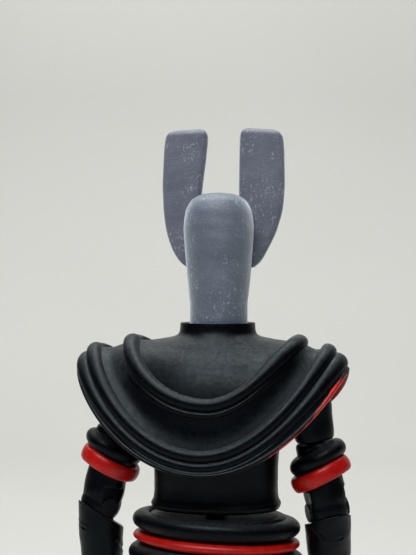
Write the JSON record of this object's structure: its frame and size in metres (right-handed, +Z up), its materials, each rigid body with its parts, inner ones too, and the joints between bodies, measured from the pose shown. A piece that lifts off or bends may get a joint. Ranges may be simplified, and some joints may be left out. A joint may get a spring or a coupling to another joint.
{
  "type": "articulated toy figure",
  "caption": "Standing posable plastic figure with tall flat ears, draped black mantle, red-banded sleeves, belt and boots, and pinned swivel, ball and hinge joints",
  "frame": {"origin": "on the floor, below the middle of the figure's bounding box", "axes": "+Z up, the figure faces -Y, its own left side is +X"},
  "size_m": [0.0606, 0.0371, 0.1809],
  "materials": {
    "skin": "grey-blue speckled, semi-matte",
    "costume": "black, matte",
    "mantle": "black soft PVC, dusty sheen",
    "red_paint": "red, semi-gloss",
    "peg": "black, smooth"
  },
  "bodies": {
    "pelvis": {"pelvis": "costume", "waist_post": "peg", "belt_top_roll": "costume", "belt_red_band": "red_paint", "belt_lower_roll": "costume"},
    "torso": {"torso_front": "costume", "torso_back": "costume", "mantle": "mantle"},
    "neck": {"neck_post": "peg"},
    "head": {"head": "skin", "ear_left": "skin", "ear_right": "skin"},
    "shoulder_left": {"shoulder_hub_left": "peg"},
    "upper_arm_left": {"upper_arm_left": "costume", "shoulder_pin_left": "peg"},
    "sleeve_left": {"sleeve_left": "costume", "sleeve_band_left": "red_paint"},
    "forearm_left": {"forearm_left": "costume", "elbow_pin_left": "peg"},
    "hand_left": {"hand_left": "skin"},
    "hip_left": {"hip_hub_left": "peg"},
    "thigh_left": {"thigh_left": "costume", "hip_pin_left": "peg"},
    "shin_left": {"shin_left": "costume", "boot_band_left": "red_paint", "knee_pin_left": "peg", "ankle_pin_left": "peg"},
    "foot_left": {"foot_left": "costume"},
    "shoulder_right": {"shoulder_hub_right": "peg"},
    "upper_arm_right": {"upper_arm_right": "costume", "shoulder_pin_right": "peg"},
    "sleeve_right": {"sleeve_right": "costume", "sleeve_band_right": "red_paint"},
    "forearm_right": {"forearm_right": "costume", "elbow_pin_right": "peg"},
    "hand_right": {"hand_right": "skin"},
    "hip_right": {"hip_hub_right": "peg"},
    "thigh_right": {"thigh_right": "costume", "hip_pin_right": "peg"},
    "shin_right": {"shin_right": "costume", "boot_band_right": "red_paint", "knee_pin_right": "peg", "ankle_pin_right": "peg"},
    "foot_right": {"foot_right": "costume"}
  },
  "joints": [
    {"name": "waist_turn", "type": "hinge", "parent": "pelvis", "child": "torso", "pos_m": [0, 0, 0.099], "axis": [0, 0, 1], "range_deg": [-45, 45]},
    {"name": "neck_nod", "type": "hinge", "parent": "torso", "child": "neck", "pos_m": [0, -0.003, 0.1294], "axis": [1, 0, 0], "range_deg": [-4, 4]},
    {"name": "head_turn", "type": "hinge", "parent": "neck", "child": "head", "pos_m": [0, -0.003, 0.1395], "axis": [0, 0, 1], "range_deg": [-75, 75]},
    {"name": "shoulder_swing_left", "type": "hinge", "parent": "torso", "child": "shoulder_left", "pos_m": [0.0196, 0, 0.124], "axis": [-1, 0, 0], "range_deg": [-20, 45]},
    {"name": "shoulder_raise_left", "type": "hinge", "parent": "shoulder_left", "child": "upper_arm_left", "pos_m": [0.0196, 0, 0.124], "axis": [0, -1, 0], "range_deg": [-2, 45]},
    {"name": "bicep_turn_left", "type": "hinge", "parent": "upper_arm_left", "child": "sleeve_left", "pos_m": [0.0196, 0, 0.124], "axis": [-0.225, 0, 0.9744], "range_deg": [-45, 45]},
    {"name": "elbow_bend_left", "type": "hinge", "parent": "sleeve_left", "child": "forearm_left", "pos_m": [0.02579, 0, 0.0972], "axis": [-0.6263, 0.766, -0.1446], "range_deg": [-15, 12]},
    {"name": "wrist_turn_left", "type": "hinge", "parent": "forearm_left", "child": "hand_left", "pos_m": [0.02636, -0.00399, 0.07355], "axis": [-0.0241, 0.1664, 0.9858], "range_deg": [-90, 90]},
    {"name": "hip_swing_left", "type": "hinge", "parent": "pelvis", "child": "hip_left", "pos_m": [0.0108, 0, 0.0775], "axis": [-1, 0, 0], "range_deg": [-25, 60]},
    {"name": "hip_spread_left", "type": "hinge", "parent": "hip_left", "child": "thigh_left", "pos_m": [0.0108, 0, 0.0775], "axis": [0, -1, 0], "range_deg": [-2, 18]},
    {"name": "knee_bend_left", "type": "hinge", "parent": "thigh_left", "child": "shin_left", "pos_m": [0.01228, 0, 0.04353], "axis": [0.999, 0, 0.0436], "range_deg": [0, 90]},
    {"name": "ankle_bend_left", "type": "hinge", "parent": "shin_left", "child": "foot_left", "pos_m": [0.01379, 0, 0.00907], "axis": [-0.999, 0, -0.0436], "range_deg": [-25, 25]},
    {"name": "shoulder_swing_right", "type": "hinge", "parent": "torso", "child": "shoulder_right", "pos_m": [-0.0196, 0, 0.124], "axis": [-1, 0, 0], "range_deg": [-20, 28]},
    {"name": "shoulder_raise_right", "type": "hinge", "parent": "shoulder_right", "child": "upper_arm_right", "pos_m": [-0.0196, 0, 0.124], "axis": [0, 1, 0], "range_deg": [-1, 25]},
    {"name": "bicep_turn_right", "type": "hinge", "parent": "upper_arm_right", "child": "sleeve_right", "pos_m": [-0.0196, 0, 0.124], "axis": [-0.1736, 0, -0.9848], "range_deg": [-12, 45]},
    {"name": "elbow_bend_right", "type": "hinge", "parent": "sleeve_right", "child": "forearm_right", "pos_m": [-0.02438, 0, 0.09692], "axis": [-0.9254, -0.342, 0.1632], "range_deg": [-25, 65]},
    {"name": "wrist_turn_right", "type": "hinge", "parent": "forearm_right", "child": "hand_right", "pos_m": [-0.02474, -0.00953, 0.07489], "axis": [-0.015, -0.3971, -0.9176], "range_deg": [-90, 90]},
    {"name": "hip_swing_right", "type": "hinge", "parent": "pelvis", "child": "hip_right", "pos_m": [-0.0108, 0, 0.0775], "axis": [-1, 0, 0], "range_deg": [-25, 60]},
    {"name": "hip_spread_right", "type": "hinge", "parent": "hip_right", "child": "thigh_right", "pos_m": [-0.0108, 0, 0.0775], "axis": [0, 1, 0], "range_deg": [-2, 25]},
    {"name": "knee_bend_right", "type": "hinge", "parent": "thigh_right", "child": "shin_right", "pos_m": [-0.01228, 0, 0.04353], "axis": [0.999, 0, -0.0436], "range_deg": [0, 90]},
    {"name": "ankle_bend_right", "type": "hinge", "parent": "shin_right", "child": "foot_right", "pos_m": [-0.01379, 0, 0.00907], "axis": [-0.999, 0, 0.0436], "range_deg": [-25, 25]}
  ]
}
